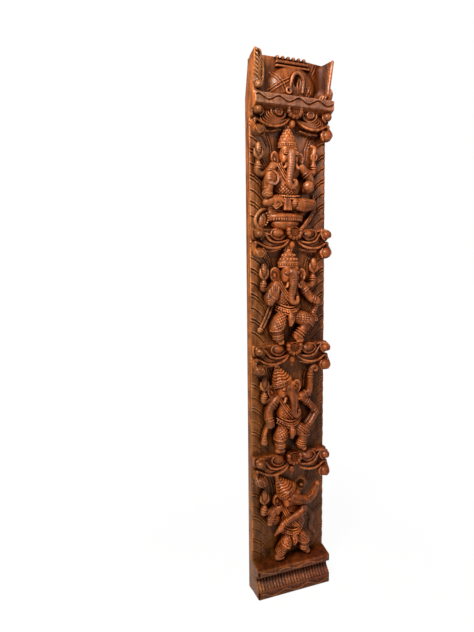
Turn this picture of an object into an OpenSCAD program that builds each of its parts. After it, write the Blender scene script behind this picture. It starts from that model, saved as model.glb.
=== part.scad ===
// Carved wooden door-jamb panel: one upright timber with four niches of elephant-headed
// figures, scroll brackets between them, a horned crown block on top and a fluted plinth.
// Units are millimetres. X runs to the right, Y to the wall, Z up. The foot stands on Z = 0.

/* [Panel] */
// Overall height, foot to horn tips
panel_h = 1220; // [1000:10:1500]
// Width of the timber
panel_w = 190; // [160:5:240]
// Full depth of the timber, wall side to carved front
panel_d = 60; // [50:1:80]
// Timber left behind the carved field
field_t = 23; // [16:1:30]

/* [Crown and cornice] */
// Height of the horned crown block above the cornice bar
crown_h = 87; // [70:1:110]
// Height of the cornice bar
cornice_h = 20; // [14:1:28]
// Chamfer under the cornice bar
cornice_under = 9; // [4:1:14]
// Beads along the top edge
beads = 5; // [3:1:7]

/* [Scroll brackets] */
// Radius of the lotus cup in the middle of a bracket
lotus_r = 18; // [14:1:22]
// Petals round the lower rim of the cup
petals = 6; // [4:1:8]
// Radius of the volute beside the cup
volute_r = 14; // [10:1:16]
// Radius of the lower scroll ball
scroll_r = 12; // [9:1:14]

/* [Niche field] */
// Rays cut on each side of a niche
rays = 3; // [2:1:5]
// Width of a ray groove
ray_w = 3.5; // [2:0.5:5]
// Depth of a ray groove
ray_deep = 2; // [1:0.5:3]

/* [Plinth] */
// Height of the plinth up to its top ledge
plinth_h = 72; // [56:1:90]
// Flutes along the lower slope
flutes = 11; // [8:1:16]
// Waves of the cut line along a band
waves = 4; // [2:1:6]
// Width of the cut wavy line
wave_w = 3; // [2:0.5:4]

/* [Hidden] */
eps = 0.05;
relief = panel_d - field_t;
y_back = panel_d / 2;
y_field = y_back - field_t;
y_front = -panel_d / 2;
cornice_z = panel_h - crown_h - cornice_h;
lotus_drop = 11;
// the lotus cups are spaced evenly from the plinth to the cornice
pitch = (cornice_z - lotus_drop - plinth_h + 8) / 4;
function lotus_z(i) = cornice_z - lotus_drop - i * pitch;
// the carving is drawn for a 190 x 37 x 259.5 niche and follows the panel's own sizes
sx = panel_w / 190;
sp = relief / 37;
sz = pitch / 259.5;
sc = crown_h / 87;
wood = [0.50, 0.25, 0.11];

// Points of the carving are [across, out of the field, up]. Every form is a dome that stands
// on the field without an undercut: a wall up to its own height, then a rounded top.
function dome(r, p, h, steps) =
    concat([[0, -4], [r, -4]],
           [for (i = [0 : steps]) [r * cos(90 * i / steps), p + h * sin(90 * i / steps)]]);

module ball(c, r, n = 5) {
    translate([c[0], 0, c[2]]) rotate([90, 0, 0]) rotate_extrude($fn = n) polygon(dome(r, c[1], r, 2));
}

module limb(pts, rs, n = 5) {
    for (i = [0 : len(pts) - 2])
        hull() {
            ball(pts[i], rs[i], n);
            ball(pts[i + 1], rs[i + 1], n);
        }
}

module egg(c, r, lean = 0, n = 8) {
    translate([c[0], 0, c[2]]) rotate([0, lean, 0]) scale([r[0], 1, r[2]])
        rotate([90, 0, 0]) rotate_extrude($fn = n) polygon(dome(1, c[1], r[1], 2));
}

// Tall crown turned about its own axis, half sunk in the field and leaned sideways
module mitre(c, r, h, lean) {
    profile = [[0, -6], [r, -6], [r * 1.06, 2], [r * 0.9, 5], [r * 0.66, h * 0.4],
               [r * 0.72, h * 0.45], [r * 0.32, h * 0.82], [0, h]];
    translate([c[0], -c[1], c[2]]) rotate([0, lean, 0]) rotate_extrude($fn = 8) polygon(profile);
}

module ear(c, w, h, lean) {
    egg(c, [w, 7, h], lean, 5);
}

// Ear turned to the front, hollowed round a small ball
module cup_ear(c, r) {
    difference() {
        egg(c, [r, 8, r], 0, 8);
        translate([c[0], -c[1] - 10, c[2]]) sphere(r = r * 0.66, $fn = 8);
    }
    ball(c, r * 0.26, 4);
}

// Head seen from the front: brow, cheeks, eyes, tusk
module head(c, lean = 0) {
    egg(c, [22, 16, 22], lean, 8);
    for (s = [-1, 1]) ball([c[0] + s * 12, c[1] + 9, c[2] + 3], 4, 4);
    ball([c[0] - 11, c[1] + 12, c[2] - 22], 4, 4);
}

module open_hand(c) {
    hull() {
        ball(c, 10, 6);
        ball([c[0] + 1, c[1] - 2, c[2] + 18], 6, 5);
    }
}

module foot(c, s) {
    limb([[c[0] - s * 3, c[1] - 2, c[2]], [c[0] + s * 10, c[1] - 2, c[2]]], [8, 8], 4);
}

// Bud held up beside the head
module bud(c, h) {
    egg(c, [9, 9, h * 0.5], 0, 5);
}

module belt(c, r, w) {
    limb([for (k = [-1 : 1]) [c[0] + r[0] * 0.9 * k, c[1] + r[1] * (1 - 0.7 * abs(k)), c[2]]], [w, w, w], 4);
}

// Body shared by the standing figures: belly, chest, belts and the cloth that hangs in front
module body(x, z, cloth) {
    egg([x, 11, z + 25], [31, 18, 27], 0, 8);
    egg([x, 10, z + 55], [33, 13, 20], 0, 6);
    belt([x, 10, z + 3], [29, 17], 4);
    egg([x, 11, z - 2], [27, 15, 16], 0, 5);
    limb([[x, 25, z - 6], [x, 25, z - cloth]], [6, 8], 4);
}

module seated_figure() {
    // lotus seat: a beaded band over a smooth bowl
    egg([-14, 8, 26], [33, 22, 20], 0, 8);
    translate([-14, -8, 28]) scale([1, 0.66, 1]) cylinder(r1 = 37, r2 = 40, h = 20, $fn = 14);
    for (k = [-2 : 2])
        ball([-14 + k * 14, 8 + 23 * sqrt(max(0, 1 - pow(k / 3, 2))), 39], 6, 4);
    limb([[-56, 8, 48], [-76, 8, 28], [-58, 8, 8]], [7, 7, 4]);
    // legs folded across the seat
    limb([[-6, 20, 64], [44, 20, 66]], [15, 13]);
    limb([[-14, 20, 64], [-58, 18, 68]], [15, 12]);
    limb([[-56, 20, 62], [-38, 26, 59]], [10, 10], 4);
    limb([[-16, 28, 72], [-16, 28, 50]], [6, 8], 4);
    // belly, chest and the cord across them
    egg([-11, 11, 103], [33, 19, 28], 0, 8);
    egg([-10, 10, 136], [33, 14, 20], 0, 6);
    limb([[-34, 20, 146], [-4, 29, 96]], [4, 4], 4);
    // arms
    limb([[-43, 14, 146], [-60, 20, 86], [-56, 25, 104]], [10, 10, 8]);
    egg([-55, 25, 116], [13, 10, 17], 0, 5);
    limb([[-42, 8, 146], [-78, 12, 152]], [8, 7]);
    bud([-78, 12, 172], 34);
    limb([[25, 14, 146], [48, 16, 104], [37, 24, 98]], [10, 9, 7]);
    ball([36, 24, 106], 12, 6);
    limb([[24, 8, 146], [57, 11, 154]], [8, 7]);
    bud([57, 11, 176], 34);
    // head
    head([-9, 18, 170]);
    ear([-40, 9, 164], 10, 15, -10);
    ear([22, 9, 164], 10, 15, 8);
    limb([[-9, 28, 168], [-13, 30, 112], [-8, 31, 103], [1, 31, 108]], [11, 7.5, 6, 6]);
    mitre([-9, 7, 190], 22, 42, 0);
}

module dancing_figure() {
    body(-8, 87, 32);
    limb([[-20, 12, 80], [-42, 22, 50]], [14, 14]);
    limb([[-42, 20, 50], [-36, 20, 24]], [12.5, 11]);
    foot([-34, 24, 15], -1);
    limb([[9, 12, 78], [40, 22, 62]], [14, 14]);
    limb([[40, 20, 62], [15, 20, 28]], [12.5, 11]);
    foot([12, 25, 13], 1);
    limb([[-46, 8, 92], [-72, 8, 58], [-66, 8, 36]], [6, 7, 4]);
    limb([[-39, 16, 146], [-56, 20, 110], [-50, 28, 114]], [10, 9, 8]);
    open_hand([-49, 30, 122]);
    limb([[-38, 8, 146], [-66, 11, 150]], [8, 7]);
    bud([-66, 12, 170], 38);
    limb([[24, 16, 146], [42, 18, 120], [58, 22, 110]], [10, 9, 7]);
    limb([[60, 20, 110], [62, 14, 72]], [9, 8]);
    limb([[24, 8, 148], [58, 11, 162]], [8, 7]);
    bud([59, 11, 182], 34);
    head([-6, 19, 170]);
    ear([-38, 9, 170], 13, 17, -12);
    ear([26, 9, 168], 11, 16, 12);
    limb([[-4, 28, 168], [-7, 30, 116], [-2, 31, 107], [7, 31, 112]], [11, 7.5, 6, 6]);
    mitre([-8, 7, 190], 24, 42, 0);
}

module leaning_figure() {
    body(-5, 83, 30);
    limb([[-16, 12, 76], [-33, 22, 56]], [13, 13.5]);
    limb([[-33, 20, 56], [-31, 20, 30]], [12, 10.5]);
    foot([-28, 24, 20], -1);
    limb([[9, 12, 74], [28, 22, 62]], [13, 13.5]);
    limb([[28, 20, 62], [22, 20, 28]], [12, 10.5]);
    foot([24, 24, 17], 1);
    limb([[-60, 10, 80], [-66, 10, 40]], [5, 8]);
    limb([[-36, 16, 142], [-56, 19, 120], [-58, 24, 96]], [10, 9, 8]);
    egg([-58, 27, 92], [10, 7, 11], 0, 6);
    limb([[-36, 8, 144], [-66, 11, 154]], [8, 7]);
    bud([-66, 12, 174], 34);
    limb([[26, 14, 144], [48, 16, 158], [54, 16, 184], [59, 14, 198]], [10, 9, 8, 8]);
    limb([[26, 16, 142], [62, 20, 104], [34, 26, 70]], [10, 9, 7]);
    egg([32, 28, 68], [9, 7, 9], 0, 6);
    head([-16, 20, 166], -12);
    ear([-46, 9, 162], 12, 16, -24);
    ear([16, 9, 168], 11, 15, 6);
    limb([[-10, 28, 164], [-1, 30, 116], [3, 31, 107], [11, 31, 112]], [11, 7.5, 6, 6]);
    mitre([-23, 7, 181], 24, 40, -20);
}

module striding_figure() {
    body(2, 76, 26);
    limb([[-9, 12, 68], [-23, 22, 52]], [13, 13.5]);
    limb([[-23, 20, 52], [-33, 20, 28]], [12, 10.5]);
    foot([-34, 24, 18], -1);
    limb([[13, 12, 68], [33, 22, 58]], [13, 13.5]);
    limb([[33, 20, 58], [30, 20, 28]], [12, 10.5]);
    foot([31, 24, 17], 1);
    // right forearm laid slantwise across the belly, its hand pointing down
    limb([[28, 12, 142], [22, 28, 131], [-31, 28, 106], [-44, 18, 78]], [10, 8.5, 6.5, 3]);
    limb([[-30, 14, 138], [-52, 14, 120]], [10, 9]);
    egg([-42, 15, 112], [12, 9, 13], 0, 6);
    limb([[-32, 8, 138], [-68, 11, 148]], [8, 7]);
    bud([-68, 12, 166], 34);
    head([-4, 20, 162], 14);
    ear([-32, 9, 158], 13, 16, -10);
    cup_ear([31, 12, 181], 15);
    limb([[4, 28, 162], [24, 27, 155], [42, 26, 155], [55, 25, 167], [61, 24, 185]], [12, 10, 9, 8.5, 6]);
    ball([62, 24, 187], 7);
    mitre([-12, 7, 176], 24, 46, -34);
}

// Bracket between two niches, drawn about the middle of its lotus cup
module scroll_bracket() {
    for (s = [-1, 1]) scale([s, 1, 1]) {
        // body of the bracket with its dipping lower rim
        rotate([90, 0, 0]) linear_extrude(20)
            polygon([[-1, 11], [95, 11], [95, -14], [80, -22], [62, -33], [42, -31],
                     [24, -24], [12, -14], [-1, -12]]);
        // rim and leaf ribs that sweep up to the end curls
        limb([[10, 19, -15], [40, 22, -29], [68, 21, -26]], [4, 4, 4], 4);
        limb([[48, 19, -18], [68, 20, 2]], [5, 4], 4);
        // volute: a ring about a raised eye
        translate([37, 0, -1]) rotate([90, 0, 0]) rotate_extrude($fn = 9)
            polygon([[0, 14], [0, 29], [volute_r * 0.5, 21], [volute_r - 3, 27], [volute_r, 14]]);
        // end curls: a small ball over a large hooked one
        ball([84, 24, -2], 10, 6);
        limb([[86, 12, -24], [83, 22, -42]], [8, scroll_r], 6);
    }
    // lotus cup with a scalloped rim
    rotate([90, 0, 0]) linear_extrude(32, scale = 0.86)
        polygon([for (k = [0 : 2 * petals])
            let (a = 170 + 100 * k / petals, r = lotus_r * (k % 2 == 0 ? 0.84 : 1.06))
                [r * cos(a), 4 + r * sin(a)]]);
    ball([0, 28, 3], lotus_r * 0.4, 4);
    ball([-5, 24, -26], 8, 4);
}

// Curved grooves that run down and in on both sides of a niche
module ray_cuts() {
    for (s = [-1, 1], k = [0 : rays - 1]) {
        z = 196 - k * 150 / rays;
        a = [s * 96, 0, z + 14];
        b = [s * 62, 0, z - 6];
        c = [s * 40, 0, z - 40];
        for (seg = [[a, b], [b, c]])
            hull() for (q = seg)
                translate([q[0], -eps, q[2]]) rotate([-90, 0, 0])
                    rotate(45) cylinder(r1 = ray_w / 2, r2 = 0, h = ray_deep, $fn = 4);
    }
}

// Wavy line cut along a band of height h whose middle is at z
module wave_cut(z, h) {
    steps = waves * 4;
    function pt(i) = [-panel_w / 2 + panel_w * i / steps, z + h * 0.26 * sin(90 * i)];
    for (i = [0 : steps - 1])
        hull() for (q = [pt(i), pt(i + 1)])
            translate([q[0], y_front - eps, q[1]]) rotate([-90, 0, 0])
                cylinder(r1 = wave_w / 2, r2 = 0.2, h = 2, $fn = 4);
}

// Left horn: a leaf plate flush with the side that rises to the front, feathered along its edge
module leaf_horn() {
    translate([-95, 0, 0]) rotate([90, 0, 90]) linear_extrude(11)
        polygon([[1, -1], [-24, -1], [-27, 22], [-29, 48], [-33, 72], [-36, 86.5],
                 [-32, 86], [-12, 76], [1, 70]]);
    for (k = [0 : 2])
        limb([[-94, 28 + 2 * k, 46 + k * 15], [-80, 27 + 2 * k, 30 + k * 15]], [4, 5], 4);
    ball([-85, 28, 17], 8.5, 5);
    ball([-85, 18, 4], 10, 4);
}

// Right horn: a sail that sweeps from the back board to the front corner
module sail_horn() {
    hull() {
        translate([58, -6, -1]) cube([37, 7, 72]);
        translate([87, -34, 18]) cube([8, 10, 66]);
    }
    ball([88, 22, 14], 13, 6);
}

// Crown block drawn up from the top of the cornice bar
module crown_block() {
    rotate([90, 0, 0]) linear_extrude(12)
        polygon([[-95, -1], [95, -1], [95, 62], [66, 80], [40, 84], [-66, 84], [-95, 74]]);
    // dome with its stepped fillets
    egg([0, 8, 32], [62, 18, 40], 0, 10);
    translate([-38, -19, 67]) cube([76, 20, 8]);
    for (k = [0 : beads - 1])
        ball([(k - (beads - 1) / 2) * 60 / (beads - 1), 12, 82], 5.5, 4);
    // horseshoe loop with curled ends
    limb([[-11, 25, 16], [-9, 25, 40], [6, 26, 51], [20, 25, 42], [20, 25, 16]], [6, 4.5, 4.5, 4.5, 6], 4);
    leaf_horn();
    sail_horn();
}

// Plinth in profile: ledge, upper band, cove, fluted slope, bottom band
module plinth() {
    h = plinth_h;
    difference() {
        rotate([90, 0, 90]) translate([0, 0, -panel_w / 2]) linear_extrude(panel_w)
            polygon([[y_back, 0], [y_front, 0], [y_front, h * 0.27], [y_front + relief * 0.45, h * 0.54],
                     [y_front + relief * 0.45, h * 0.68], [y_front, h * 0.78], [y_front, h * 0.97],
                     [y_field, h + 6], [y_back, h + 6]]);
        for (k = [1 : flutes - 1])
            translate([-panel_w / 2 + panel_w * k / flutes, y_front - 1, h * 0.25])
                rotate([-atan2(relief * 0.45, h * 0.27), 0, 0])
                    rotate(90) cylinder(r = 3.4, h = h * 0.6, $fn = 3);
        wave_cut(h * 0.135, h * 0.27);
        wave_cut(h * 0.875, h * 0.19);
    }
}

module cornice() {
    difference() {
        rotate([90, 0, 90]) translate([0, 0, -panel_w / 2]) linear_extrude(panel_w)
            polygon([[y_back, cornice_z - cornice_under], [y_front + 16, cornice_z - cornice_under],
                     [y_front, cornice_z], [y_front, cornice_z + cornice_h],
                     [y_back, cornice_z + cornice_h]]);
        wave_cut(cornice_z + cornice_h / 2, cornice_h);
    }
}

module carved_panel() {
    color(wood) intersection() {
        translate([-panel_w / 2, y_front, 0]) cube([panel_w, panel_d, panel_h]);
        union() {
            difference() {
                translate([-panel_w / 2, y_field, 0]) cube([panel_w, field_t, cornice_z + eps]);
                for (i = [1 : 4])
                    translate([0, y_field, lotus_z(i)]) scale([sx, 1, sz]) ray_cuts();
            }
            for (i = [0 : 3])
                translate([0, y_field + eps, lotus_z(i)]) scale([sx, sp, sz]) scroll_bracket();
            translate([0, y_field + eps, lotus_z(1)]) scale([sx, sp, sz]) seated_figure();
            translate([0, y_field + eps, lotus_z(2)]) scale([sx, sp, sz]) dancing_figure();
            translate([0, y_field + eps, lotus_z(3)]) scale([sx, sp, sz]) leaning_figure();
            translate([0, y_field + eps, lotus_z(4)]) scale([sx, sp, sz]) striding_figure();
            cornice();
            plinth();
            difference() {
                translate([-panel_w / 2, y_field, cornice_z])
                    cube([panel_w, field_t, cornice_h + crown_h * 0.9]);
                for (s = [-1, 1])
                    translate([s * panel_w / 2, y_back + eps, panel_h - crown_h * 0.28])
                        rotate([0, s * 40, 0]) translate([-60, -field_t - 1, 0]) cube([120, field_t + 2, 60]);
            }
            translate([0, y_field + eps, cornice_z + cornice_h]) scale([sx, sp, sc]) crown_block();
        }
    }
}

carved_panel();
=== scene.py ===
"""Carved wooden jamb panel: relief sculpted as distance fields, meshed and dressed in varnished wood."""
import math

import bpy
import numpy as np
import openvdb as vdb
from mathutils import Matrix, Vector


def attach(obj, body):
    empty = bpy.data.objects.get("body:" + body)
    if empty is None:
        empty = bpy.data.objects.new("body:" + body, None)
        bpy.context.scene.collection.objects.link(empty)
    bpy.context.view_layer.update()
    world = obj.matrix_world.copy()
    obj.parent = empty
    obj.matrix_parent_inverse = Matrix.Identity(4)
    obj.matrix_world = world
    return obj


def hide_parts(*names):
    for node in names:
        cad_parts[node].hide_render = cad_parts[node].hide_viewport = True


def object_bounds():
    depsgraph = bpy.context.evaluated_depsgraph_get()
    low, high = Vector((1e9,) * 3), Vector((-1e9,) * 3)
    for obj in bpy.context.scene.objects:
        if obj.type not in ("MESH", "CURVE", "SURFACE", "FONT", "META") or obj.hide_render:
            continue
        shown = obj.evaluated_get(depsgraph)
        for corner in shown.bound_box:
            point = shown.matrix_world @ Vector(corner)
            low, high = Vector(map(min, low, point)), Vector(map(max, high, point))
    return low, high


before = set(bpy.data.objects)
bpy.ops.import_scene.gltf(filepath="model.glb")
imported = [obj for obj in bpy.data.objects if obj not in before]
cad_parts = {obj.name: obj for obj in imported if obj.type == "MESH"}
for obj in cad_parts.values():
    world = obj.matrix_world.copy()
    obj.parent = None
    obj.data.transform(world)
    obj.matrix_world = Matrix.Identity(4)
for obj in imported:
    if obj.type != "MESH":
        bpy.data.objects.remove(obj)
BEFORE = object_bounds()

# Sizes of the panel in millimetres: its box is the frame's, the rest is as in the CAD source
W, D, H = (float(round(1000 * (b - a))) for a, b in zip(*BEFORE))
HALF = W / 2
T = 23.0  # timber behind the carving
FIELD = D / 2 - T  # the carved field, in y
FRONT = D - T - 0.1  # front of the mouldings, out from the field
CORNICE_Z, CORNICE_H = 1113.0, 20.0
CROWN_Z = CORNICE_Z + CORNICE_H
CROWN_H = H - CROWN_Z
PLINTH_H = 72.0
NICHES = 4
LOTUS_0 = CORNICE_Z - 11.0  # middle of the topmost lotus cup
FOOT_LAP = 8.0  # how far the lowest niche runs down behind the plinth
PITCH = (LOTUS_0 - PLINTH_H + FOOT_LAP) / NICHES
BEHIND = -9.0  # plain timber from here back
FLANK = HALF - 1.0  # plain side from here out
MM = 0.001

# Distance fields and their meshes
VOXEL = 1.0
ADAPT = 0.12  # how far flat stretches of a mesh are thinned
EMPTY = 12.0  # distance that stands for no wood
BAND = 3.0  # depth of the field that is meshed
MARGIN = 6.0  # reach of a form beyond its own box
AHEAD = 60.0  # in front of every carving
TINY = 1e-9

# Shade of hollows, painted into the colour as dark patina close in and as painted shade further out: blur of
# the wood, step out from its face, weight, and share of wood off a flat face
REACHES = ((1, 1.0, 1.6, 0.28), (5, 3.5, 0.8, 0.23), (14, 9.0, 0.5, 0.24))
MID_SHADE, FLANK_SHADE, PLAIN_SHADE = 0.35, 0.12, 0.10


def lotus_z(i):
    return LOTUS_0 - i * PITCH


def ease(v, a, b):
    """0 at a and 1 at b, straight in between."""
    return np.clip((v - a) / (b - a), 0, 1)


def leaning(dx, dz, lean):
    """Places across and along an axis that leans by so many degrees."""
    ca, sa = math.cos(math.radians(lean)), math.sin(math.radians(lean))
    return dx * ca - dz * sa, dx * sa + dz * ca


def leaning_point(at, lean):
    """Function that turns (across, out, along) of a leaning axis into a point."""
    ca, sa = math.cos(math.radians(lean)), math.sin(math.radians(lean))
    x, p, z = at
    return lambda u, w, v: (x + u * ca + v * sa, p + w, z + v * ca - u * sa)


def off_segment(a, b, start, end):
    """Squared distance of the places (a, b) from a straight stretch."""
    v = end - start
    t = np.clip(((a - start[0]) * v[0] + (b - start[1]) * v[1]) / (v @ v + TINY), 0, 1)
    return (a - start[0] - t * v[0]) ** 2 + (b - start[1] - t * v[1]) ** 2


class Carving:
    """Wood as a distance field; points are (across, out of the field, up), in millimetres."""

    def __init__(self, back, low, high, half=HALF + 4):
        """Empty box over the width and out past the front; back, low and high are its other faces."""
        lo, hi = (-half, back, low), (half, D - T + 4, high)
        self.lo = np.array(lo, float)
        n = [int(math.ceil((b - a) / VOXEL)) + 1 for a, b in zip(lo, hi)]
        self.ax = [(lo[i] + VOXEL * np.arange(n[i])).astype(np.float32) for i in range(3)]
        self.d = np.full(n, EMPTY, np.float32)

    def window(self, lo, hi):
        """Part of the field between two corners, with its places."""
        cut = []
        for i in range(3):
            a = max(0, int((lo[i] - self.lo[i]) / VOXEL) - 1)
            b = min(len(self.ax[i]), int((hi[i] - self.lo[i]) / VOXEL) + 3)
            cut.append(slice(a, b))
        x, p, z = (self.ax[i][cut[i]] for i in range(3))
        return tuple(cut), x[:, None, None], p[None, :, None], z[None, None, :]

    def put(self, lo, hi, f, k=2.0, cut=False):
        """Add the form f, or cut it away, with a fillet of about k."""
        m = k + MARGIN
        at, x, p, z = self.window([v - m for v in lo], [v + m for v in hi])
        old = self.d[at]
        new = f(x, p, z)
        if cut:
            new = -new
        blend = np.maximum(k - np.abs(old - new), 0.0) ** 2 / (4.0 * k)
        self.d[at] = np.maximum(old, new) + blend if cut else np.minimum(old, new) - blend

    def limb(self, pts, rs, k=2.0, cut=False, flat=1.0):
        """Chain of round cones through the points; flat < 1 presses it towards the field."""
        pts = [np.array(q, float) for q in pts]
        r = max(rs)

        def f(x, p, z):
            best = None
            for a, b, ra, rb in zip(pts[:-1], pts[1:], rs[:-1], rs[1:]):
                v = b - a
                t = ((x - a[0]) * v[0] + (p - a[1]) * v[1] + (z - a[2]) * v[2]) / (v @ v + TINY)
                t = np.clip(t, 0.0, 1.0)
                e = np.sqrt((x - a[0] - t * v[0]) ** 2 + ((p - a[1] - t * v[1]) / flat) ** 2
                            + (z - a[2] - t * v[2]) ** 2) - (ra + t * (rb - ra))
                best = e if best is None else np.minimum(best, e)
            return best
        self.put(np.min(pts, axis=0) - r, np.max(pts, axis=0) + r, f, k, cut)

    def curve(self, pts, rs, k=2.0, n=4, flat=1.0):
        """Smooth curve through the points (Catmull-Rom) drawn as a limb."""
        q = np.array([list(a) + [b] for a, b in zip(pts, rs)], float)
        q = np.vstack([2 * q[0] - q[1], q, 2 * q[-1] - q[-2]])
        out = []
        for i in range(1, len(q) - 2):
            for t in np.linspace(0, 1, n, endpoint=False):
                a, b, c, e = q[i - 1], q[i], q[i + 1], q[i + 2]
                out.append(0.5 * (2 * b + (c - a) * t + (2 * a - 5 * b + 4 * c - e) * t * t
                                  + (3 * b - a - 3 * c + e) * t ** 3))
        out = np.array(out + [q[-2]])
        self.limb(out[:, :3], np.maximum(out[:, 3], 0.3), k, flat=flat)

    def egg(self, c, r, k=2.0, lean=0.0, cut=False):
        """Ellipsoid about c that may lean to the side."""
        def f(x, p, z):
            u, v = leaning(x - c[0], z - c[2], lean)
            q = p - c[1]
            k0 = np.sqrt((u / r[0]) ** 2 + (q / r[1]) ** 2 + (v / r[2]) ** 2)
            k1 = np.sqrt((u / r[0] ** 2) ** 2 + (q / r[1] ** 2) ** 2 + (v / r[2] ** 2) ** 2)
            return k0 * (k0 - 1.0) / np.maximum(k1, 1e-5)
        big = max(r[0], r[2])
        self.put([c[0] - big, c[1] - r[1], c[2] - big], [c[0] + big, c[1] + r[1], c[2] + big], f, k, cut)

    def turned(self, at, lean, prof, flat, wave, k):
        """Form turned about a leaning axis: prof is (height, radius), and wave adds relief to it."""
        hs, rs = [a for a, b in prof], [b for a, b in prof]

        def f(x, p, z):
            u, v = leaning(x - at[0], z - at[2], lean)
            w = (p - at[1]) / flat
            r = np.interp(v, hs, rs)
            if wave is not None:
                r = r + wave(v, np.arctan2(u, w + 1e-6))
            return np.maximum((np.sqrt(u * u + w * w) - r) * 0.8, np.maximum(hs[0] - v, v - hs[-1]))
        big = max(max(rs), abs(hs[0]), hs[-1]) + 4
        half = np.array([big, max(rs) * flat, big])
        self.put(np.array(at) - half, np.array(at) + half, f, k)

    def ring(self, c, big, small, k=1.0, squash=1.0, lean=0.0):
        """Ring that faces the front."""
        def f(x, p, z):
            u, v = leaning(x - c[0], z - c[2], lean)
            v = v / squash
            return np.sqrt((np.sqrt(u * u + v * v) - big) ** 2 + (p - c[1]) ** 2) - small
        s = big + small
        self.put([c[0] - s, c[1] - small, c[2] - s], [c[0] + s, c[1] + small, c[2] + s], f, k)

    def box(self, lo, hi, r):
        """Box with its edges rounded by r."""
        c = [(a + b) / 2 for a, b in zip(lo, hi)]
        e = [(b - a) / 2 - r for a, b in zip(lo, hi)]

        def f(x, p, z):
            q = [np.abs(x - c[0]) - e[0], np.abs(p - c[1]) - e[1], np.abs(z - c[2]) - e[2]]
            out = np.sqrt(sum(np.maximum(v, 0.0) ** 2 for v in q))
            return out + np.minimum(np.maximum(np.maximum(q[0], q[1]), q[2]), 0.0) - r
        self.put(lo, hi, f, 0.5)

    def extrude(self, outline, ends, place, k, r):
        """Outline drawn in two directions and run along the third; place picks (a, b, c) from (x, p, z)."""
        o = np.array(outline, float)

        def f(*xpz):
            a, b, c = (xpz[i] for i in place)
            best = None
            inside = np.zeros(np.broadcast(a, b).shape, bool)
            for s, e in zip(o, np.roll(o, -1, axis=0)):
                q = off_segment(a, b, s, e)
                best = q if best is None else np.minimum(best, q)
                if e[1] != s[1]:
                    inside ^= ((s[1] > b) != (e[1] > b)) & (
                        a < (e[0] - s[0]) * (b - s[1]) / (e[1] - s[1]) + s[0])
            flat = np.where(inside, -np.sqrt(best), np.sqrt(best)) + r
            deep = np.abs(c - (ends[0] + ends[1]) / 2) - (ends[1] - ends[0]) / 2 + r
            return np.minimum(np.maximum(flat, deep), 0) + np.sqrt(
                np.maximum(flat, 0) ** 2 + np.maximum(deep, 0) ** 2) - r
        lo, hi = np.zeros(3), np.zeros(3)
        lo[list(place)] = (*o.min(axis=0), ends[0])
        hi[list(place)] = (*o.max(axis=0), ends[1])
        self.put(lo, hi, f, k)

    def slab(self, outline, p0, p1, k, r):
        """Outline in x and z, raised from p0 to p1."""
        self.extrude(outline, (p0, p1), (0, 2, 1), k, r)

    def moulding(self, outline, x0, x1, k, r):
        """Outline in p and z, run along x."""
        self.extrude(outline, (x0, x1), (1, 2, 0), k, r)

    def front_face(self, at):
        """1 where the wood faces the front, 0 at its sides."""
        return np.clip(np.gradient(self.d[at], VOXEL, axis=1), 0, 1)

    def line(self, pts, width, depth, pmin=BEHIND):
        """Cut a line (depth > 0) or raise one (depth < 0) in front faces further out than pmin."""
        q = np.array(pts, float)
        m = 2.0 * width
        (x0, z0), (x1, z1) = q.min(axis=0) - m, q.max(axis=0) + m
        at, x, p, z = self.window([x0, pmin, z0], [x1, AHEAD, z1])
        best = None
        for s, e in zip(q[:-1], q[1:]):
            g = off_segment(x, z, s, e)
            best = g if best is None else np.minimum(best, g)
        self.d[at] += depth * np.exp(-best / (0.5 * width) ** 2) * self.front_face(at)

    def pattern(self, c, r, fn, lean, pmin):
        """Cut a shallow pattern fn(u, v) inside an ellipse, in the same way."""
        big = max(r)
        at, x, p, z = self.window([c[0] - big, pmin, c[1] - big], [c[0] + big, AHEAD, c[1] + big])
        u, v = leaning(x - c[0], z - c[1], lean)
        mask = np.clip((1.0 - (u / r[0]) ** 2 - (v / r[1]) ** 2) * 4.0, 0, 1)
        self.d[at] += fn(u, v) * mask * self.front_face(at)

    def piece(self, name, z0, crop=None, back=None, paint=None):
        """Mesh the field, shade its hollows and hand the piece over.

        crop trims the wood, back drops the faces hidden behind it, and paint adds to the shade by place.
        """
        d = self.d if crop is None else np.maximum(self.d, crop)
        grid = vdb.FloatGrid(BAND)
        grid.copyFromArray(np.clip(d, -BAND, BAND).astype(np.float64))
        pts, tris, quads = grid.convertToPolygons(isovalue=0.0, adaptivity=ADAPT)
        pts = np.asarray(pts, np.float64)
        tris = np.asarray(tris, np.int64).reshape(-1, 3)
        quads = np.asarray(quads, np.int64).reshape(-1, 4)
        mm = pts * VOXEL + self.lo
        shade = self.hollows(pts)
        if paint is not None:
            shade = shade + paint(mm[:, 0], mm[:, 1], mm[:, 2])
        # the plain sides get a light shade: painted light on sides that catch the lamp
        shade = np.where(np.abs(mm[:, 0]) > FLANK, np.minimum(shade, FLANK_SHADE), shade)
        shade = np.where(mm[:, 1] < BEHIND, PLAIN_SHADE, shade)
        if back is not None:
            shown = mm[:, 1] > back
            tris, quads = tris[shown[tris].any(axis=1)], quads[shown[quads].any(axis=1)]
        xyz = np.stack([mm[:, 0], FIELD - mm[:, 1], mm[:, 2] + z0], axis=1) * MM
        # faces turned inside out are turned back
        a, b, c = xyz[quads[:, 0]], xyz[quads[:, 1]], xyz[quads[:, 2]]
        if np.einsum("ij,ij->i", a - xyz.mean(axis=0), np.cross(b - a, c - a)).sum() < 0:
            tris, quads = tris[:, ::-1], quads[:, ::-1]
        used = np.unique(np.concatenate([tris.ravel(), quads.ravel()]))
        new = np.zeros(len(pts), np.int64)
        new[used] = np.arange(len(used))
        hand_over(name, xyz[used], new[tris].tolist() + new[quads].tolist(), shade[used])

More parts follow.
